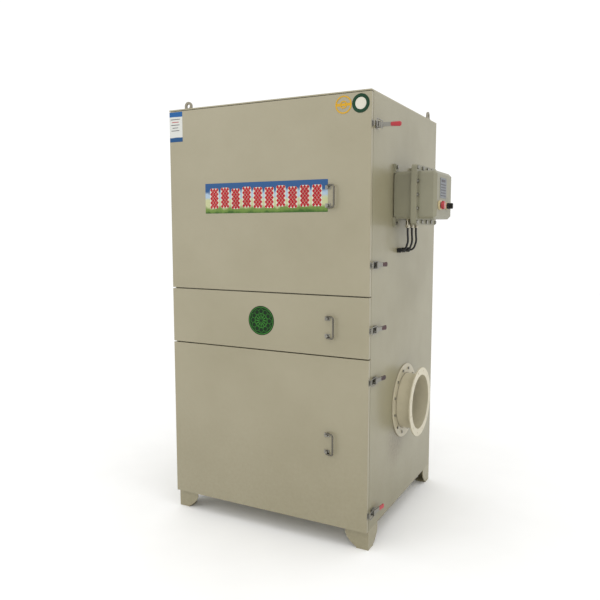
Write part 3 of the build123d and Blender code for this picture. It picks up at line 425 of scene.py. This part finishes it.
# Cut vinyl has one flat colour, an even thickness and little gloss under its dust.
red_vinyl = finish("red_cut_vinyl", "#ac1420", "#9c101b", 0.35, 3.0, 0.05, shine=PRINT_SHINE)
white_vinyl = finish("white_cut_vinyl", "#cfcbbc", "#c4c0b0", 0.4, 3.0, 0.05, shine=PRINT_SHINE)
ink_vinyl = finish("dark_grey_ink", "#3c3a40", "#4a474c", 0.5, 3.0, 0.05)
green_vinyl = finish("dark_green_cut_vinyl", "#0f3a22", "#0c301c", 0.35, 3.0, 0.05, shine=PRINT_SHINE)
yellow_vinyl = finish("yellow_cut_vinyl", "#c79a26", "#b88c1f", 0.35, 3.0, 0.05, shine=PRINT_SHINE)
emblem_green = finish("forest_green_cut_vinyl", "#082a08", "#062206", 0.45, 3.0, 0.05,
                      shine=PRINT_SHINE)
leaf_green = finish("pale_green_ink", "#3f8f30", "#357f28", 0.45, 3.0, 0.05, shine=PRINT_SHINE)

# %% [markdown]
# ## The banner
# A strip of printed vinyl crosses the upper door, with a row of red figures on it. A row of plain
# blocks would look empty, and anything drawn with strokes would look like writing. A lattice of
# diamonds on a pale block is as busy as print, and says nothing.

# %% Banner with a row of patterned blocks
INK = 0.3 * MM
ON_FILM, ON_BLOCK = 0.8 * MM, 1.2 * MM
banner_x, banner_z = 6 * MM, door_low[2] + 451.5 * MM
banner_half_u, banner_half_v = 338 * MM, 73.5 * MM
film("banner_film", banner_x, banner_z, banner_half_u, banner_half_v, 3 * MM, banner_print, "upper_door")
BLOCK_COUNT = 10
BLOCK_PITCH = 63 * MM
BLOCK_STAGGER = 4 * MM
BLOCK_SHAPE = outline(25.5 * MM, 49 * MM, 9 * MM)
DIAMOND_SHAPE = lozenge(7.8 * MM, 9.7 * MM)
LATTICE_U, LATTICE_V = 17 * MM, 10.4 * MM
backs = []
diamonds = []
for k in range(BLOCK_COUNT):
    x = banner_x + (k - (BLOCK_COUNT - 1) / 2) * BLOCK_PITCH
    z = banner_z + BLOCK_STAGGER * math.sin(2.4 * k)
    backs.append(flat_rings(x, z, *BLOCK_SHAPE, INK, ON_FILM))
    for row in range(-4, 5):
        across = (-1, 0, 1) if row % 2 == 0 else (-0.5, 0.5)
        for step in across:
            diamonds.append(flat_rings(x + step * LATTICE_U, z + row * LATTICE_V, *DIAMOND_SHAPE, INK,
                                       ON_BLOCK))
stitch("banner_blocks", backs, white_vinyl, "upper_door")
stitch("banner_diamonds", diamonds, red_vinyl, "upper_door")
print("banner:", BLOCK_COUNT, "blocks of", len(diamonds) // BLOCK_COUNT, "diamonds")

# %% [markdown]
# ## Label and tags
# A paper label sits in the upper door's hinge corner, and two round tags in its latch corner. Thin
# bars of different lengths stand for the label's rows. The tags are rings, so each is a small
# section carried round a circle.

# %% Corner label and round tags
label_x, label_z = -half_width + 42 * MM, door_high[2] - 77 * MM
film("corner_label", label_x, label_z, 40 * MM, 74 * MM, 2 * MM, label_print, "upper_door")
RULE_HALF_WIDTHS = (30, 22, 27, 18, 25)
RED_RULE = 1
for k, wide in enumerate(RULE_HALF_WIDTHS):
    film("label_rule_%d" % k, label_x - 4 * MM, label_z + (38 - 14 * k) * MM, wide * MM, 1.6 * MM, 1.5 * MM,
         red_vinyl if k == RED_RULE else ink_vinyl, "upper_door", depth=0.2 * MM, lift=ON_FILM)
tag_z = door_high[2] - 48 * MM
yellow_x, green_x = half_width - 132 * MM, half_width - 50 * MM
ring("yellow_tag_rim", yellow_x, tag_z, 39 * MM, 33 * MM, yellow_vinyl, "upper_door")
film("yellow_tag_bar", yellow_x, tag_z, 34 * MM, 6 * MM, 3 * MM, yellow_vinyl, "upper_door")
ring("yellow_tag_heart", yellow_x, tag_z, 17 * MM, 12 * MM, yellow_vinyl, "upper_door",
     lift=1.0 * MM)
ring("green_tag_rim", green_x, tag_z, 41 * MM, 26 * MM, green_vinyl, "upper_door")
film("green_tag_face", green_x, tag_z, 26.5 * MM, 26.5 * MM, 26.4 * MM, white_vinyl, "upper_door")
print("corner label with", len(RULE_HALF_WIDTHS), "rules, and two tags")

# %% [markdown]
# ## The emblem
# A dark green disc on the middle door carries a lighter wheel. Twelve rings and twelve spokes are
# set round its middle by angle, which is quicker to change than a drawn outline.

# %% Emblem
PETALS = 12
emblem_x, emblem_z = -12 * MM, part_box("middle_door")[0][2] + 141 * MM
ON_DISC = 0.7 * MM
film("emblem_disc", emblem_x, emblem_z, 72 * MM, 72 * MM, 71.9 * MM, emblem_green, "middle_door")
for radius, width in ((66, 1.2), (33, 0.8)):
    ring("emblem_circle_%d" % radius, emblem_x, emblem_z, (radius + width) * MM, (radius - width) * MM,
         leaf_green, "middle_door", depth=INK, lift=ON_DISC)
PETAL_REACH, PETAL_OUTER, PETAL_INNER = 46 * MM, 12.5 * MM, 11.1 * MM
SPOKE_REACH = 20 * MM
SPOKE_U, SPOKE_V = lozenge(15 * MM, 2.2 * MM)
petals = []
spokes = []
for k in range(PETALS):
    turn = 2 * math.pi * k / PETALS
    c, s = math.cos(turn), math.sin(turn)
    petals.append(hoop_rings(emblem_x + PETAL_REACH * c, emblem_z + PETAL_REACH * s, PETAL_OUTER, PETAL_INNER,
                             INK, ON_DISC))
    spokes.append(flat_rings(emblem_x + SPOKE_REACH * c, emblem_z + SPOKE_REACH * s,
                             SPOKE_U * c - SPOKE_V * s, SPOKE_U * s + SPOKE_V * c, INK, ON_DISC))
stitch("emblem_petals", petals, leaf_green, "middle_door", around=True)
stitch("emblem_spokes", spokes, leaf_green, "middle_door")
print("emblem:", len(petals), "petals and", len(spokes), "spokes")

# %% [markdown]
# ## Dipped grips
# The latch levers are dipped in PVC. The dip is thicker at its tip, where the drip sets, and ends
# in a soft rim. A rounded oblong is carried along the lever and swells with the drip's curve.

# %% Grips on the latch levers
LEVER_TILT = math.radians(8.0)
LINK_THROW = 14 * MM
GRIP_START, GRIP_END = 33 * MM, 83.5 * MM
GRIP_HALF_THICK, GRIP_HALF_TALL = 4.1 * MM, 10.0 * MM


def grip(name, joint, body, open_angle, material):
    """A rounded oblong carried along the lever arm, with a soft rim and end, turned to its open angle."""
    pivot = np.array(joint_at[joint])
    along = np.linspace(GRIP_START, GRIP_END, 22)
    t = (along - GRIP_START) / (GRIP_END - GRIP_START)
    rim = np.clip(t * 9, 0, 1) ** 0.5 * np.clip((1 - t) * 7, 0.02, 1) ** 0.45
    swell = 1 + 0.10 * t ** 2
    u, v = outline(1.0, 1.0, 0.75, 28)
    out = u[None, :] * (GRIP_HALF_THICK * rim * swell)[:, None]
    rise = v[None, :] * (GRIP_HALF_TALL * (0.3 + 0.7 * rim) * swell)[:, None]
    local_x = out * math.cos(LEVER_TILT) + along[:, None] * math.sin(LEVER_TILT)
    local_y = LINK_THROW + along[:, None] * math.cos(LEVER_TILT) - out * math.sin(LEVER_TILT)
    c, s = math.cos(open_angle), math.sin(open_angle)
    rings = np.stack([pivot[0] + local_x * c + local_y * s, pivot[1] - local_x * s + local_y * c,
                      pivot[2] + rise], axis=-1)
    return stitch(name, rings, material, body)


TOP_LEVER_OPEN = math.radians(72.0)
grip("upper_top_grip", "upper_top_latch_swing", "upper_top_lever", TOP_LEVER_OPEN, red_dip)
for lever, dip in (("upper_bottom", maroon_dip), ("middle", maroon_dip), ("lower_top", maroon_dip),
                   ("lower_bottom", red_dip)):
    grip(lever + "_grip", lever + "_latch_swing", lever + "_lever", 0.0, dip)
print("grips on five levers, each", round((GRIP_END - GRIP_START) / MM, 1), "mm long")

# %% [markdown]
# ## Weld beads and sealant
# Feet and lugs are welded on and then painted, so each joint has a bead of overlapping puddles.
# A round bar whose radius ripples every few millimetres gives that look.


# %% Beads
def bead(name, start, end, radius, material, pitch=4 * MM):
    """A round bar from start to end whose radius ripples with the welder's pitch, shut at both ends."""
    start = np.array(start)
    end = np.array(end)
    run = end - start
    length = float(np.linalg.norm(run))
    direction = run / length
    side = np.cross(direction, (0, 0, 1.0)) if abs(direction[2]) < 0.9 else np.cross(direction, (1.0, 0, 0))
    side /= np.linalg.norm(side)
    other = np.cross(direction, side)
    count = max(12, int(length / pitch * 4))
    t = np.linspace(0, 1, count)
    ripple = radius * (0.86 + 0.14 * np.abs(np.cos(math.pi * t * length / pitch)))
    ripple *= np.clip(np.minimum(t, 1 - t) * length / radius, 0.15, 1) ** 0.5
    turn = np.arange(8) * 2 * math.pi / 8
    circle = np.cos(turn)[:, None] * side + np.sin(turn)[:, None] * other
    rings = start + t[:, None, None] * run + ripple[:, None, None] * circle[None]
    return stitch(name, rings, material, "cabinet")


# %% Beads on feet and lugs
body_front, foot_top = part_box("right_panel")[0][1:]
body_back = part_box("right_panel")[1][1]
FOOT_BEAD, FOOT_INSET, FOOT_DROP = 2.5 * MM, 7 * MM, 6 * MM
FOOT_BEAD_START, FOOT_BEAD_END = 12 * MM, 100 * MM
bead_z = foot_top - FOOT_DROP
for number, (sx, sy) in enumerate(((-1, -1), (1, -1), (-1, 1), (1, 1))):
    corner_y = body_front if sy < 0 else body_back
    inside_x = sx * (half_width - FOOT_INSET)
    inside_y = corner_y - sy * FOOT_INSET
    bead("foot_weld_x_%d" % number, (sx * (half_width - FOOT_BEAD_START), inside_y, bead_z),
         (sx * (half_width - FOOT_BEAD_END), inside_y, bead_z), FOOT_BEAD, weld_steel)
    bead("foot_weld_y_%d" % number, (inside_x, corner_y - sy * FOOT_BEAD_START, bead_z),
         (inside_x, corner_y - sy * FOOT_BEAD_END, bead_z), FOOT_BEAD, weld_steel)
LUG_BEAD, LUG_HALF_WIDTH = 2.2 * MM, 30 * MM
LUG_FACES = (2 * MM, 10 * MM)
lug_bead_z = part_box("roof_plate")[1][2] + 1 * MM
lug_front_x = -half_width + 100 * MM
for number, face in enumerate(LUG_FACES):
    y = body_front + face
    bead("front_lug_weld_%d" % number, (lug_front_x - LUG_HALF_WIDTH, y, lug_bead_z),
         (lug_front_x + LUG_HALF_WIDTH, y, lug_bead_z), LUG_BEAD, weld_steel)
lug_rear_y = body_back - 150 * MM
for number, face in enumerate(LUG_FACES):
    x = half_width - face
    bead("rear_lug_weld_%d" % number, (x, lug_rear_y - LUG_HALF_WIDTH, lug_bead_z),
         (x, lug_rear_y + LUG_HALF_WIDTH, lug_bead_z), LUG_BEAD, weld_steel)
print("beads on four feet and two lugs")


# %% Sealant round the duct ports and pipe seams
def hoop(name, x, y, z, radius, wire, material, count=120):
    """A ring of round section whose plane faces X, for welds and sealant round a pipe."""
    turn = np.linspace(0, 2 * math.pi, count, endpoint=False)
    section = np.arange(8) * 2 * math.pi / 8
    swell = wire * (0.9 + 0.1 * np.abs(np.cos(turn * count / 8)))
    r = radius + swell[:, None] * np.cos(section)[None, :]
    rings = np.stack([x + swell[:, None] * np.sin(section)[None, :],
                      y + r * np.cos(turn)[:, None], z + r * np.sin(turn)[:, None]], axis=-1)
    return stitch(name, rings, material, "cabinet", around=True)


PIPE_BEAD_RADIUS = 144 * MM
for port, side in (("outlet_spigot", 1), ("inlet_spigot", -1)):
    low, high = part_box(port)
    z = (low[2] + high[2]) / 2
    collar = (high[2] - low[2]) / 2
    wall = side * half_width
    hoop(port + "_wall_sealant", wall + side * 1.5 * MM, 0.0, z, collar, 1.8 * MM, weld_steel)
    hoop(port + "_pipe_weld", wall + side * 6.5 * MM, 0.0, z, PIPE_BEAD_RADIUS, 2.2 * MM, weld_steel)
    hoop(port + "_flange_weld", wall + side * 80.5 * MM, 0.0, z, PIPE_BEAD_RADIUS, 2.0 * MM, weld_steel)
print("sealant and two welds on each port")

# %% [markdown]
# ## Rating plate rows
# The plate on the control box is etched in rows and held by four rivets. Blank raised bars stand
# for the rows. A rivet's head is a low dome: a circle that shrinks as a quarter ellipse.

# %% Rating plate bars
plate_low, plate_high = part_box("rating_plate")
plate_mid_y = (plate_low[1] + plate_high[1]) / 2


def plate_bar(name, up, half_y, half_z, material):
    """A small rounded bar standing 0.6 mm out of the plate's face."""
    u, v = outline(half_y, half_z, half_z * 0.6, 24)
    face = plate_high[0]
    z = plate_low[2] + up
    rings = np.stack([np.stack([np.full_like(u, x), plate_mid_y + k * u, z + k * v], axis=-1)
                      for k, x in ((1, face), (1, face + 0.5 * MM), (0.92, face + 0.6 * MM))])
    return stitch(name, rings, material, "cabinet")


# %% Rivets, heading and rows
RIVET_SIDES, RIVET_LEVELS = 20, 6
RIVET_RADIUS, RIVET_HEIGHT, RIVET_INSET, RIVET_ACROSS = 2.4 * MM, 1.2 * MM, 5 * MM, 49 * MM
rivet_turn = np.linspace(0, 2 * math.pi, RIVET_SIDES, endpoint=False)
rivet_lift = np.linspace(0, 1, RIVET_LEVELS)
rivet_x = np.broadcast_to((plate_high[0] + RIVET_HEIGHT * rivet_lift)[:, None], (RIVET_LEVELS, RIVET_SIDES))
rivet_swell = RIVET_RADIUS * np.sqrt(1.02 - rivet_lift ** 2)[:, None]
rivets = []
for side in (-1, 1):
    for rivet_z in (plate_low[2] + RIVET_INSET, plate_high[2] - RIVET_INSET):
        rivets.append(np.stack([rivet_x, plate_mid_y + side * RIVET_ACROSS + rivet_swell * np.cos(rivet_turn),
                                rivet_z + rivet_swell * np.sin(rivet_turn)], axis=-1))
stitch("plate_rivets", rivets, bright_zinc, "cabinet")
plate_bar("plate_heading", 82 * MM, 32 * MM, 6 * MM, ink_vinyl)
PLATE_ROWS = 5
for k in range(PLATE_ROWS):
    plate_bar("plate_row_%d" % k, (64 - 13 * k) * MM, (44 - 4 * (k % 2)) * MM, 2.2 * MM, ink_vinyl)
print("rating plate:", len(rivets), "rivets,", PLATE_ROWS, "rows")

# %% [markdown]
# ## Filter bags
# Needle felt bags hang on wire cages. At rest the felt is drawn in between the eight uprights and
# held out by the hoops, so each bag is a soft scalloped tube. Cloth simulation could shrink it on
# to its cage. The scallops are regular, so one formula gives them and stays clear of every wire.

# %% Sizes of a bag
UPRIGHTS = 8
CLOTH = 2 * MM
FIT = 0.1 * MM
FOOT_RADIUS = 20 * MM
SPAN_DIP, EDGE_DIP, CREASE = 4.2 * MM, 0.9 * MM, 0.7 * MM
bag_low, bag_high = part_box("filter_bags")
collar_radius, bag_radius = 73 * MM, 65 * MM
bag_bottom, rim_top = bag_low[2], bag_high[2]
sheet_top = rim_top - 4 * MM
first_x, last_x = bag_low[0] + collar_radius, bag_high[0] - collar_radius
first_y, last_y = bag_low[1] + collar_radius, bag_high[1] - collar_radius
print("bags", round((rim_top - bag_bottom) / MM), "mm long")


# %% Bags drawn on to their cages
def bag_rings(x, y, phase):
    """Rings of one bag: up inside, over the rim, down outside. Radius = bag - dip; the dip is a squared
    sine between the uprights, times a sine along the height that is zero at the three hoops."""
    turn = np.linspace(0, 2 * math.pi, 64, endpoint=False)
    rise = np.linspace(0, 1, 26)
    wall_low = bag_bottom + FOOT_RADIUS
    height = wall_low + rise * (sheet_top - 12 * MM - wall_low)
    pull = np.abs(np.sin(2 * math.pi * rise))[:, None] ** 0.6
    valley = np.sin(turn * UPRIGHTS / 2)[None, :] ** 2
    crease = CREASE * np.sin(5 * turn + phase)[None, :] * np.sin(9 * rise + phase)[:, None] * pull
    outside = bag_radius - FIT - SPAN_DIP * pull * valley - EDGE_DIP * valley + np.minimum(crease, 0)
    bend = np.linspace(0.12, 1, 7) * math.pi / 2
    foot, foot_height = np.sin(bend), FOOT_RADIUS * (1 - np.cos(bend))
    heel = outside[0] - FOOT_RADIUS

    def level(radius, z):
        """One ring at height z."""
        r = np.broadcast_to(radius, turn.shape)
        return np.stack([x + r * np.cos(turn), y + r * np.sin(turn), np.full_like(turn, z)], axis=-1)

    base = [level(heel + FOOT_RADIUS * f, bag_bottom + h) for f, h in zip(foot, foot_height)]
    under = [level(heel + (FOOT_RADIUS - CLOTH) * f, bag_bottom + CLOTH + 0.9 * h)
             for f, h in zip(foot, foot_height)]
    wall = [level(r, z) for r, z in zip(outside[1:], height[1:])]
    lining = [level(r - CLOTH, z) for r, z in zip(outside[1:], height[1:])]
    inside, edge, neck = bag_radius - CLOTH, collar_radius - 2 * FIT, bag_radius - FIT
    seat = sheet_top + 2 * FIT
    mouth = [level(inside, sheet_top), level(inside, rim_top - 0.5 * MM), level(inside + 0.6 * MM, rim_top),
             level(collar_radius - 0.8 * MM, rim_top), level(edge, rim_top - 0.8 * MM), level(edge, seat),
             level(neck, seat), level(neck, sheet_top - 5 * MM)]
    return np.stack(under + lining + mouth + wall[::-1] + base[::-1])


BAG_ROWS = 4
bags = [bag_rings(x, y, 1.7 * k + 0.6 * j) for k, x in enumerate(np.linspace(first_x, last_x, BAG_ROWS))
        for j, y in enumerate(np.linspace(first_y, last_y, BAG_ROWS))]
felt_bags = stitch("felt_filter_bags", bags, felt, "cabinet")
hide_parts("filter_bags")
print("felt bags:", len(bags), "with", len(felt_bags.data.polygons), "faces")

# %% [markdown]
# ## Studio
# A pale floor, a pale sky and three soft panels: one above, a broad one at the front left and a
# weak one on the right, so that the doors are a little lighter than the side wall.

# %% Floor and backdrop
floor_material = finish("pale_matt_floor", "#fdfdfc", "#fbfbfa", 0.95, 20.0, 0.02)
floor_mesh = bpy.data.meshes.new("floor")
REACH = 14.0
floor_mesh.from_pydata([(-REACH, -REACH, 0), (REACH, -REACH, 0), (REACH, REACH, 0), (-REACH, REACH, 0)], [],
                       [(0, 1, 2, 3)])
floor_mesh.materials.append(floor_material)
floor = bpy.data.objects.new("floor", floor_mesh)
bpy.context.scene.collection.objects.link(floor)
world = bpy.data.worlds.new("studio")
bpy.context.scene.world = world
world.use_nodes = True
SKY_STRENGTH = 1.06
sky = world.node_tree.nodes["Background"]
sky.inputs["Color"].default_value = linear("#ffffff")
sky.inputs["Strength"].default_value = SKY_STRENGTH
print("floor", 2 * REACH, "m wide, sky at", SKY_STRENGTH)


# %% Soft panels
def soft_panel(name, place, aim, size, power):
    """A square area light at place, turned to shine at aim."""
    light = bpy.data.lights.new(name, "AREA")
    light.size = size
    light.energy = power
    lamp = bpy.data.objects.new(name, light)
    bpy.context.scene.collection.objects.link(lamp)
    lamp.location = place
    away = np.array(place) - np.array(aim)
    lamp.rotation_euler = (math.atan2(math.hypot(away[0], away[1]), away[2]), 0,
                           math.atan2(away[0], -away[1]))


soft_panel("top_panel", (0.8, -1.6, 4.6), (0, 0, 1.0), 3.0, 22.0)
soft_panel("front_panel", (-2.2, -4.2, 2.6), (0, 0, 1.1), 2.6, 16.0)
soft_panel("right_panel_light", (3.4, -1.2, 4.2), (0.5, 0, 2.0), 1.4, 7.0)
print("three soft panels")
